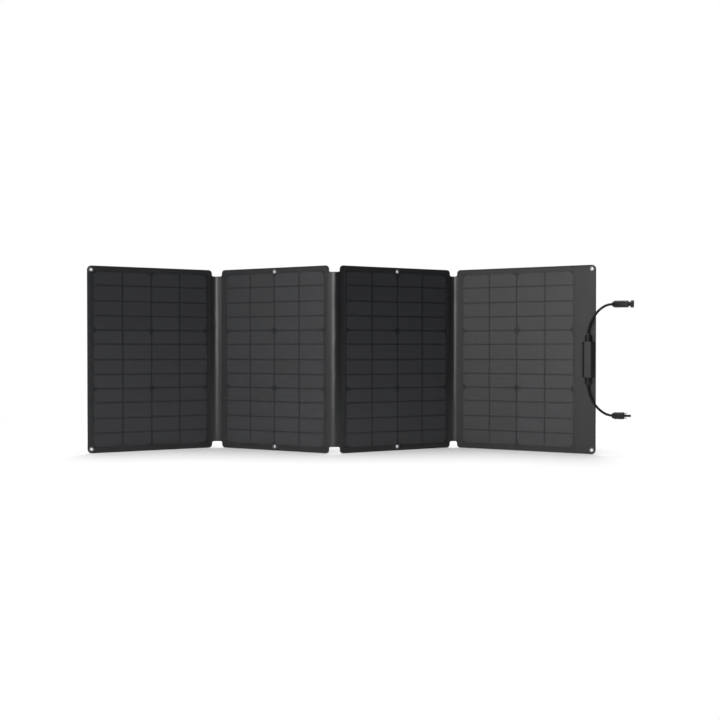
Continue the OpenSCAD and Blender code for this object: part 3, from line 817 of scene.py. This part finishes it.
def make_back_cover(panel, cloth):
    """The back cover: it wraps the board, and pulls in where it is sewn along the hem."""

    def outer(x, z):
        near = min(x, panel.width - x, z, PANEL_H - z)
        fade = max(0.0, min(1.0, (near - 8) / 25))
        return PANEL_BACK + ripple(panel, x, z, 90, 0.5) * fade

    return make_cover(panel, f"back_fabric_{panel.number}", BACK_RIM,
                      lambda x, z: BOARD_BACK + 0.04, outer, [cloth], lambda x, z: 0, ())


# Section of the film's edge: (inset, depth).
FILM_EDGE = [(4.7, 0.27), (4.7, 0.99), (0.1, 0.99), (0.0, 0.9), (0.12, 0.6), (0.45, 0.32),
             (1.0, 0.14), (1.9, 0.04), (3.2, 0.0)]
FILM_BACK = 0.27
FILM_FLAT = 4.2  # inset where the film's face is flat
FILM_SINK = 0.1
FILM_SINK_W = 3.2
SINK_OFFSETS = (-3.2, -1.8, -0.6, 0.6, 1.8, 3.2)


def make_film(panel, finish):
    """The clear film over the cells, sunk a little between them."""
    low, high = film_box(panel)
    shape = Shape(panel.at)
    rings = []
    for inset, depth in FILM_EDGE:
        spots = outline(low, high, 1.0, 1.0, inset, 12.0, panel.eyelets, panel.eyelets,
                        FILM_BITE)
        rings.append([shape.add(x, depth, z) for x, z in spots])
    for a, b in zip(rings, rings[1:]):
        shape.bridge(a, b)
    left = panel.cells_left

    def sink(off):
        return max(0.0, 1 - (off / FILM_SINK_W) ** 2) ** 2

    def front(x, z):
        side = abs((x - left) / COLUMN - round((x - left) / COLUMN)) * COLUMN
        floor = min(abs(z - CELLS_BOTTOM - line) for line in ROW_LINES)
        return FILM_SINK * max(sink(side), 0.7 * sink(floor))

    columns = [left + k * COLUMN + o for k in range(COLUMNS + 1) for o in SINK_OFFSETS]
    columns += [left + (k + part) * COLUMN for k in range(COLUMNS) for part in (0.3, 0.7)]
    rows = [CELLS_BOTTOM + line + o for line in ROW_LINES for o in SINK_OFFSETS]
    rows += [CELLS_BOTTOM + (a + b) / 2 for a, b in zip(ROW_LINES, ROW_LINES[1:])]
    spots = [(x, z) for x in columns for z in rows
             if low[0] + FILM_FLAT < x < high[0] - FILM_FLAT
             and low[1] + FILM_FLAT < z < high[1] - FILM_FLAT
             and all(math.hypot(x - ex, z - ez) > FILM_BITE + 4.5 for ex, ez in panel.eyelets)]
    shape.fill([rings[0]], lattice(low, high, 60.0, (), 12), lambda x, z: FILM_BACK,
               lambda x, z: 0, ())
    shape.fill([rings[-1]], spots, front, lambda x, z: 0, ())
    return shape.build(f"clear_film_piece_{panel.number}", [finish])


# ---- Turned pieces ----


def spindle(origin, axis, side):
    """Own axes of a turned piece: two across it, then its length from the origin."""
    axis = axis.normalized()
    side = side.normalized()
    other = axis.cross(side)
    return lambda a, b, length: origin + (side * a + other * b + axis * length) * MM


def around(stop, count, flutes):
    """The angle and both cross offsets of points around a turned piece at one stop."""
    radius = stop[1]
    deep = stop[2] if len(stop) > 2 else 0.0
    flat = stop[3] if len(stop) > 3 else 1e3
    for n in range(count):
        a = 2 * math.pi * n / count
        r = radius - deep * (0.5 - 0.5 * math.cos(flutes * a)) ** 2
        r = min(r, flat / max(1e-6, abs(math.sin(a))))
        yield a, r * math.cos(a), r * math.sin(a)


# Profiles of an eyelet and its washer: (depth, radius).
EYELET_STOPS = [(4.3, 3.5), (0.75, 3.5), (0.45, 3.62), (0.26, 3.95), (0.17, 4.5),
                (0.16, 5.1), (0.28, 5.8), (0.52, 6.35), (0.8, 6.66), (0.97, 6.75),
                (0.99, 6.5), (0.96, 4.7), (1.1, 4.2), (4.0, 4.2), (4.6, 4.3),
                (4.9, 4.75), (4.86, 5.15), (5.06, 5.1), (5.14, 4.6), (5.0, 4.0),
                (4.7, 3.62)]
WASHER_STOPS = [(4.12, 4.3), (4.12, 6.6), (4.3, 6.74), (4.56, 6.6), (4.78, 6.1),
                (4.85, 5.4), (4.82, 4.8), (4.6, 4.4)]


def make_eyelets(panel, finish):
    """A panel's two eyelets, and the two washers behind them."""
    for name, stops, node in (("eyelet_pair", EYELET_STOPS, "eyelets"),
                              ("washer_pair", WASHER_STOPS, "washers")):
        shape = Shape(panel.at)
        for x, z in panel.eyelets:
            shape.loft([[shape.add(px, depth, pz) for px, pz in circle((x, z), radius, 40)]
                        for depth, radius in stops], closed=True)
        piece = shape.build(f"{name}_{panel.number}", [finish], 60)
        dress(piece, panel.body, "eyelet_metal", f"{node}_{panel.number}")


STITCH_PITCH = 6.0
STITCH_LEN = 4.4
THREAD_R = 0.42
THREAD_SIDES = 6
SEAM_INSET = 3.0
SEAM_DEPTHS = ((-1, 1.12), (1, 3.48))
# One stitch: (share of its length, thickness, rise above the cloth).
STITCH_STOPS = ((0, 0.45, 0.0), (0.18, 0.9, 0.22), (0.5, 1.0, 0.3), (0.82, 0.9, 0.22),
                (1, 0.45, 0.0))


def make_seam(panel, finish):
    """Two rows of lock stitches along the hem, one on each side of the panel."""
    shape = Shape(panel.at)
    loop = outline((0, 0), (panel.width, PANEL_H), panel.left_r, panel.right_r, SEAM_INSET, 4.0)
    line = [Vector(p) for p in loop + loop[:1]]
    far = [0.0]
    for a, b in zip(line, line[1:]):
        far.append(far[-1] + (b - a).length)
    count = int(far[-1] / STITCH_PITCH)

    def on_seam(at):
        at %= far[-1]
        n = next(k for k in range(1, len(far)) if far[k] >= at)
        part = (at - far[n - 1]) / max(1e-9, far[n] - far[n - 1])
        return line[n - 1].lerp(line[n], part)

    for side, surface in SEAM_DEPTHS:
        for n in range(count):
            start = on_seam(far[-1] * n / count)
            end = on_seam(far[-1] * n / count + STITCH_LEN)
            way = (end - start).normalized()
            cross = Vector((-way.y, way.x))
            rings = []
            for part, thick, rise in STITCH_STOPS:
                spot = start.lerp(end, part)
                ring = []
                for k in range(THREAD_SIDES):
                    a = 2 * math.pi * k / THREAD_SIDES
                    out = spot + cross * math.cos(a) * THREAD_R * thick
                    deep = surface + side * (rise + math.sin(a) * THREAD_R * 0.7 * thick)
                    ring.append(shape.add(out.x, deep, out.y))
                rings.append(ring)
            shape.loft(rings)
    piece = shape.build(f"hem_stitches_{panel.number}", [finish], 80)
    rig.ride(piece, panel.body)
    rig.slot(piece, "cover_fabric")
    return piece


# ---- Folds ----

STRIP_FRONT = 1.0
STRIP_BACK = 2.6
STRIP_MID = 1.8
STRIP_BOTTOM = 18.0
STRIP_TOP = 502.0
STRIP_EDGE = 0.35
STRIP_ROWS = 44
STRIP_COLUMNS = 26
STRIP_SLACK = 0.22
FILLET = 5.0
LAP = 4.0
STRIP_ENDS = (LAP, 0.4, -0.4, -0.9, -1.8, -3.0)  # columns past the end of the arc
LAP_BACK = 1.7
LAP_LIFT = 0.03
BRAIDS = ((60, 72), (448, 460))
BRAID_FRONT = 1.82
BRAID_BACK = 2.08
BRAID_COLUMNS = 20


class Fold:
    """The arc that a strip follows between two panels. Its side is 1 where the panels
    meet at the back, and -1 where they meet at the front."""

    def __init__(self, number):
        self.number = number
        self.left = panels[number]
        self.right = panels[number + 1]
        a = self.left.at(self.left.width, STRIP_MID, 0)
        b = self.right.at(0, STRIP_MID, 0)
        self.radius = (b.x - a.x) / 2 / math.sin(TURN) / MM
        front = -self.left.behind()
        self.side = 1 if number % 2 else -1
        self.centre = a + front * self.radius * MM * self.side
        self.half = self.radius * TURN

    def at(self, along, depth, z):
        """A point of the frame: along the arc from its middle, depth as in a panel."""
        if along < -self.half:
            return self.left.at(self.left.width + along + self.half, depth, z)
        if along > self.half:
            return self.right.at(along - self.half, depth, z)
        turn = along / self.radius
        r = self.radius + self.side * (depth - STRIP_MID)
        return self.centre + Vector((math.sin(turn) * r, self.side * math.cos(turn) * r,
                                     z)) * MM


def fillet_rise(gap):
    """How much higher a strip's edge is near a panel, where its corner is rounded."""
    if gap <= 0:
        return FILLET
    if gap >= FILLET:
        return 0.0
    return FILLET - math.sqrt(FILLET ** 2 - (FILLET - gap) ** 2)


def make_strip(fold, cloth):
    """The fabric strip, lapped onto both panels, with round corners where it meets them."""
    shape = Shape(fold.at)
    half = fold.half
    inner = [-half + 2 * half * n / STRIP_COLUMNS for n in range(STRIP_COLUMNS + 1)]
    ends = [side * (half + out) for side in (-1, 1) for out in STRIP_ENDS]
    columns = sorted([*inner, *ends])
    columns = [c for n, c in enumerate(columns) if n == 0 or c - columns[n - 1] > 0.15]
    front = STRIP_FRONT - LAP_LIFT
    sections = []
    for along in columns:
        gap = half - abs(along)
        rise = fillet_rise(gap)
        low, high = STRIP_BOTTOM - rise, STRIP_TOP + rise
        back = LAP_BACK if gap < -0.01 else STRIP_BACK
        slack = max(0.0, min(1.0, gap / 5)) * STRIP_SLACK
        heights = [low + STRIP_EDGE + (high - low - 2 * STRIP_EDGE) * n / STRIP_ROWS
                   for n in range(STRIP_ROWS + 1)]
        section = []
        for z in heights:
            wave = slack * noise.noise(Vector((along / 9, z / 34, fold.number * 3.1)))
            section.append(shape.add(along, front + wave, z))
        section.append(shape.add(along, (front + back) / 2, high))
        section += [shape.add(along, back, z) for z in reversed(heights)]
        section.append(shape.add(along, (front + back) / 2, low))
        sections.append(section)
    shape.loft(sections)
    piece = shape.build(f"fold_fabric_{fold.number}", [cloth], 50)
    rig.slot(piece, "cover_fabric")
    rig.replaces(piece, f"fold_strip_{fold.number}")
    bend(piece, fold)
    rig.sheet(piece, flat=((2 * (fold.half + LAP)) * MM, (STRIP_TOP - STRIP_BOTTOM) * MM),
             held="stretched",
             rests_on=[f"front_fabric_{fold.left.number}", f"front_fabric_{fold.right.number}"])


def bend(piece, fold):
    """The piece bends evenly between the fold's two panels."""
    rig.blend(piece, fold.left.body, fold.right.body,
             start=fold.at(-fold.half, STRIP_MID, PANEL_H / 2),
             end=fold.at(fold.half, STRIP_MID, PANEL_H / 2))


def make_conductors(fold, finish):
    """The two flat copper braids that cross a fold inside its strip."""
    shape = Shape(fold.at)
    for low, high in BRAIDS:
        sections = []
        for n in range(BRAID_COLUMNS + 1):
            along = -fold.half + 2 * fold.half * n / BRAID_COLUMNS
            sections.append([shape.add(along, depth, z) for depth, z in
                             ((BRAID_FRONT, low), (BRAID_FRONT, high),
                              (BRAID_BACK, high), (BRAID_BACK, low))])
        shape.loft(sections)
    piece = shape.build(f"fold_braids_{fold.number}", [finish])
    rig.slot(piece, "copper")
    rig.replaces(piece, f"fold_conductors_{fold.number}")
    bend(piece, fold)


# ---- Junction box, glands and connectors ----


def softened(node, name, width, finish, slot):
    """A CAD node again, its sharp edges rounded."""
    work = bmesh.new()
    work.from_mesh(frame["nodes"][node].data)
    bmesh.ops.remove_doubles(work, verts=work.verts, dist=0.005 * MM)
    bmesh.ops.dissolve_limit(work, angle_limit=math.radians(0.5), verts=work.verts,
                             edges=work.edges)
    edges = [e for e in work.edges if e.is_manifold and e.calc_face_angle() > 0.4]
    bmesh.ops.bevel(work, geom=edges, offset=width * MM, segments=3, profile=0.5,
                    affect="EDGES", clamp_overlap=True)
    mesh = bpy.data.meshes.new(name)
    work.to_mesh(mesh)
    work.free()
    mesh.materials.append(finish.material)
    mesh.polygons.foreach_set("material_index", [0] * len(mesh.polygons))
    mesh.shade_smooth()
    mesh.set_sharp_from_angle(angle=math.radians(40))
    piece = bpy.data.objects.new(name, mesh)
    bpy.context.scene.collection.objects.link(piece)
    piece.modifiers.new("flat_faces", "WEIGHTED_NORMAL").keep_sharp = True
    return dress(piece, last.body, slot, node)


SMOOTH_SIDES = 48
FLUTED_SIDES = 72
TURNED_SHARP = 32
# Stops of the turned pieces: (length, radius, depth of the flutes, half width across flats).
GLAND_BODY = [(-2.9, 6.0), (-0.05, 6.0), (0.02, 8.9), (0.35, 9.25), (2.2, 9.25), (2.5, 8.7),
              (6.2, 8.7), (6.6, 8.4), (6.9, 6.0), (12.6, 6.0), (12.9, 5.7), (12.9, 4.1),
              (-2.9, 4.1)]
GLAND_NUT = [(7.05, 6.2), (7.05, 8.5), (7.35, 9.2), (7.8, 9.25, 0.75), (14.2, 9.25, 0.75),
             (14.7, 9.1, 0.5), (15.2, 8.8), (17.0, 8.1), (19.2, 6.7), (20.5, 5.9),
             (21.0, 5.2), (21.0, 3.6), (16.2, 3.6), (16.0, 6.2)]
SOCKET_NUT = [(0.3, 3.6), (0.0, 4.9), (0.3, 5.5), (2.5, 6.8), (5.4, 8.6), (6.8, 9.4),
              (7.6, 9.5, 0.3), (8.4, 9.5, 0.5), (19.2, 9.5, 0.5), (20.2, 9.5, 0.3),
              (20.8, 9.5), (21.9, 9.5), (22.4, 9.2), (22.45, 7.0), (5.2, 6.9), (5.0, 3.6)]
SOCKET_BODY = [(7.0, 1.7), (7.0, 6.2), (22.4, 6.3), (22.55, 9.0, 0, 8.7),
               (23.0, 9.45, 0, 8.9), (25.6, 9.5, 0, 8.9), (26.4, 9.5, 0, 8.1),
               (39.4, 9.5, 0, 8.1), (40.2, 9.5, 0, 8.9), (42.8, 9.5, 0, 8.9),
               (43.6, 9.0), (43.8, 5.5), (47.8, 5.5), (48.2, 7.9), (49.8, 9.8),
               (50.4, 10.0), (56.4, 10.0), (57.1, 9.6), (57.3, 9.0), (57.3, 3.9),
               (56.9, 3.5), (37.3, 3.5), (37.3, 1.7)]
PLUG_NUT = [(0.3, 3.6), (0.0, 4.9), (0.3, 5.5), (2.5, 6.8), (5.4, 8.6), (6.8, 9.4),
            (7.6, 9.5, 0.3), (8.4, 9.5, 0.5), (17.0, 9.5, 0.5), (18.0, 9.5, 0.3),
            (18.6, 9.5), (19.4, 9.5), (19.9, 9.2), (19.95, 7.0), (5.2, 6.9), (5.0, 3.6)]
PLUG_BODY = [(7.0, 1.7), (7.0, 6.2), (19.9, 6.3), (20.05, 9.3, 0, 9.1),
             (20.5, 9.7, 0, 9.3), (22.0, 9.75, 0, 9.3), (22.6, 9.75, 0, 8.5),
             (28.4, 9.75, 0, 8.5), (29.0, 9.75, 0, 9.3), (30.2, 9.75, 0, 9.3),
             (30.9, 9.5), (33.4, 8.3), (33.9, 7.9), (34.0, 3.15), (49.6, 3.15),
             (50.3, 2.8), (50.5, 2.3), (50.5, 1.7)]
# Side view of one of the plug's arms: (length, distance from the plug's middle).
ARM = [(32.0, 6.0), (40.0, 5.8), (40.0, 6.6), (38.8, 7.8), (37.2, 7.8), (36.8, 7.2),
       (32.0, 7.2)]
ARM_W = 5.0


def make_turned(name, place, stops, finish, slot, node, flutes=0, extra=None):
    """A hollow turned piece on the panel with the box."""
    shape = Shape(place)
    count = FLUTED_SIDES if flutes else SMOOTH_SIDES
    shape.loft([[shape.add(across, up, stop[0], (a * stop[1], stop[0]))
                 for a, across, up in around(stop, count, flutes)]
                for stop in stops], closed=True)
    if extra:
        extra(shape)
    return dress(shape.build(name, [finish], TURNED_SHARP), last.body, slot, node)


def make_glands(node, name, stops, finish, slot, flutes):
    """Both glands in one piece, as their CAD node has them."""
    shape = Shape(last.at)
    for side in (-1, 1):
        shape.loft([[shape.add(BOX_X + x, GLAND_DEPTH + depth,
                               BOX_Z + side * (BOX_LEN / 2 + stop[0]))
                     for _, x, depth in around(stop, FLUTED_SIDES, flutes)]
                    for stop in stops], closed=True)
    return dress(shape.build(name, [finish], TURNED_SHARP), last.body, slot, node)


def latch_arms(shape):
    """The plug's two springy arms, each with a barb at its tip."""
    for side in (-1, 1):
        shape.loft([[shape.add(side * r, width, length) for length, r in ARM]
                    for width in (-ARM_W / 2, ARM_W / 2)])


# ---- Finishes ----

front_cloth = woven("cover_fabric", (0.0095, 0.01, 0.011), (0.0145, 0.015, 0.0165),
                    0.0005, 0.42, 0.00003)
back_cloth = woven("back_fabric", (0.014, 0.0145, 0.016), (0.026, 0.0265, 0.029),
                   0.0009, 0.62, 0.00014)
fold_cloth = woven("fold_fabric", (0.005, 0.0052, 0.006), (0.0085, 0.0088, 0.0098),
                   0.0006, 0.32, 0.00003, 0.46)
backing = moulded("cell_backing", (0.0095, 0.0098, 0.011), (0.014, 0.0145, 0.016), 0.5,
                  gloss=0.22)
thread = woven("hem_thread", (0.014, 0.0145, 0.016), (0.024, 0.0245, 0.027), 0.0008, 0.55,
               0.00008)
film = clear_film()
nickel = metal("eyelet_metal", (0.1, 0.1, 0.105), (0.24, 0.24, 0.25), 0.42)
copper = metal("copper", (0.55, 0.26, 0.15), (0.82, 0.45, 0.3), 0.38)
tinned = metal("tinned_brass", (0.62, 0.6, 0.55), (0.85, 0.84, 0.8), 0.34)
enamel = moulded("coated_ribbon", (0.0095, 0.0098, 0.011), (0.014, 0.0145, 0.016), 0.5,
                 gloss=0.22)
board = glass_board()
shell_plastic = moulded("shell_plastic", (0.0125, 0.0125, 0.014), (0.0205, 0.0205, 0.023), 0.42,
                        gloss=0.32)
nut_plastic = moulded("nut_plastic", (0.006, 0.006, 0.007), (0.011, 0.011, 0.0125), 0.38,
                      gloss=0.25)
jacket = moulded("cable_jacket", (0.003, 0.003, 0.0035), (0.006, 0.006, 0.007), 0.5, 0.002,
                 0.2)
rubber = moulded("rubber", (0.012, 0.012, 0.012), (0.022, 0.022, 0.023), 0.65)
diode_black = moulded("diode_plastic", (0.012, 0.012, 0.013), (0.02, 0.02, 0.022), 0.5)

# ---- Making ----

for panel in panels.values():
    number = panel.number
    flat = (panel.width * MM, PANEL_H * MM)
    front = dress(make_front_cover(panel, front_cloth, backing), panel.body, "cover_fabric",
                  f"front_cover_{number}")
    back = dress(make_back_cover(panel, back_cloth), panel.body, "back_fabric",
                 f"back_cover_{number}")
    dress(make_film(panel, film), panel.body, "clear_film", f"film_{number}")
    make_eyelets(panel, nickel)
    seam = make_seam(panel, thread)
    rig.sheet(front, flat=flat, held="stretched", rests_on=[f"board_{number}"],
             with_pieces=[seam])
    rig.sheet(back, flat=flat, held="stretched", rests_on=[f"board_{number}"])

for number in (1, 2, 3):
    fold = Fold(number)
    make_strip(fold, fold_cloth)
    make_conductors(fold, copper)

softened("box_base", "junction_box_base", 0.7, shell_plastic, "shell_plastic")
softened("box_lid", "junction_box_lid", 0.9, shell_plastic, "shell_plastic")
make_glands("gland_bodies", "gland_rings", GLAND_BODY, nut_plastic, "shell_plastic", 0)
make_glands("gland_nuts", "gland_cap_nuts", GLAND_NUT, nut_plastic, "nut_plastic", 12)

upper_end = upper_tip + (lead_way * UPPER_ROUTE[-1][0] + UP * UPPER_ROUTE[-1][1]) * MM
lower_end = lower_tip + (lead_way * LOWER_ROUTE[-1][0] + UP * LOWER_ROUTE[-1][1]) * MM
socket_axes = spindle(upper_end, lead_way, UP)
plug_axes = spindle(lower_end, lead_way, UP)
socket_shell = make_turned("socket_shell", socket_axes, SOCKET_BODY, shell_plastic,
                           "shell_plastic", "socket_housing")
socket_cap = make_turned("socket_cap_nut", socket_axes, SOCKET_NUT, nut_plastic,
                         "nut_plastic", "socket_nut", 18)
plug_shell = make_turned("plug_shell", plug_axes, PLUG_BODY, nut_plastic,
                         "shell_plastic", "plug_housing", extra=latch_arms)
plug_cap = make_turned("plug_cap_nut", plug_axes, PLUG_NUT, nut_plastic, "nut_plastic",
                       "plug_nut", 18)

nodes = frame["nodes"]
for lead, length, tip, cad, pieces in (
    (upper_lead, upper_length, upper_tip, "lead_upper",
     [socket_shell, socket_cap, nodes["socket_contact"], nodes["socket_seal"]]),
    (lower_lead, lower_length, lower_tip, "lead_lower",
     [plug_shell, plug_cap, nodes["plug_contact"], nodes["plug_seal"]]),
):
    lead.data.materials.append(jacket.material)
    dress(lead, last.body, "cable_jacket", cad)
    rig.cord(lead, exit=tip, length=length, diameter=LEAD_D * MM, far_end="connector",
            stiffness="stiff", lay="loose", with_pieces=pieces)

kept = {
    "box_pad": rubber, "box_gasket": rubber, "gland_seals": rubber, "socket_seal": rubber,
    "plug_seal": rubber, "box_terminals": tinned, "socket_contact": tinned,
    "plug_contact": tinned, "box_diode": diode_black,
}
for panel in panels.values():
    kept[f"cells_{panel.number}"] = cell_face(panel)
    kept[f"ribbons_{panel.number}"] = enamel
    kept[f"board_{panel.number}"] = board
for name, finish in kept.items():
    for slot in nodes[name].material_slots:
        slot.material = finish.material

# ---- Floor, lights and surroundings ----


def floor():
    """A pale round floor that fades out far from the blanket."""
    finish = Finish("floor", specular_ior_level=0.2)
    spot = finish.place()
    x, y, _ = finish.split(spot)
    far = finish.math("SQRT", x * x + y * y)
    clouds = finish.noise(spot, 0.4, 3.0)
    finish.wear(base_color=finish.mix(clouds, (0.86, 0.86, 0.86), (0.9, 0.9, 0.9)),
                roughness=0.9, alpha=finish.ramp(far / 3, (0.28, 1.0), (0.62, 0.0)))
    shape = Shape(lambda a, b, c: Vector((a, b, c)))
    rings = [[shape.add(*p, -0.0005) for p in circle((0, 0), r, 64)] for r in (0.5, 1, 2)]
    for a, b in zip(rings, rings[1:]):
        shape.bridge(a, b)
    shape.face(tuple(rings[0]))
    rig.stage(shape.build("floor", [finish]))


def soft_light(name, place, target, width, height, power):
    lamp = bpy.data.lights.new(name, "AREA")
    lamp.shape = "RECTANGLE"
    lamp.size = width
    lamp.size_y = height
    lamp.energy = power
    light = bpy.data.objects.new(name, lamp)
    light.location = place
    way = Vector(target) - Vector(place)
    light.rotation_euler = way.to_track_quat("-Z", "Y").to_euler()
    light.visible_camera = False
    bpy.context.scene.collection.objects.link(light)


floor()
soft_light("front_light", (-0.7, -3.15, 0.8), (0, 0, 0.26), 0.9, 1.4, 41)
soft_light("left_light", (-2.6, -2.7, 1.2), (0.2, 0, 0.26), 2.5, 2.2, 35)
soft_light("top_light", (0, 0.3, 3.4), (0, 0, 0), 3.6, 3.0, 150)
soft_light("back_light", (0.4, 3.0, 1.6), (0, 0, 0.26), 2.4, 1.4, 45)

world = bpy.data.worlds.new("studio")
bpy.context.scene.world = world
world.use_nodes = True
sky = world.node_tree
for old in list(sky.nodes):
    sky.nodes.remove(old)
seen = sky.nodes.new("ShaderNodeLightPath")
white = sky.nodes.new("ShaderNodeBackground")
fill = sky.nodes.new("ShaderNodeBackground")
either = sky.nodes.new("ShaderNodeMixShader")
shown = sky.nodes.new("ShaderNodeOutputWorld")
white.inputs["Color"].default_value = (1, 1, 1, 1)
fill.inputs["Color"].default_value = (0.94, 0.97, 1.0, 1)
fill.inputs["Strength"].default_value = 0.1
sky.links.new(seen.outputs["Is Camera Ray"], either.inputs[0])
sky.links.new(fill.outputs[0], either.inputs[1])
sky.links.new(white.outputs[0], either.inputs[2])
sky.links.new(either.outputs[0], shown.inputs[0])
bpy.context.scene.view_settings.view_transform = "Standard"

low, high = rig.bounds()
with open("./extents.json", "w") as size:
    json.dump({"cad": [list(cad_low), list(cad_high)], "visual": [list(low), list(high)]},
              size)
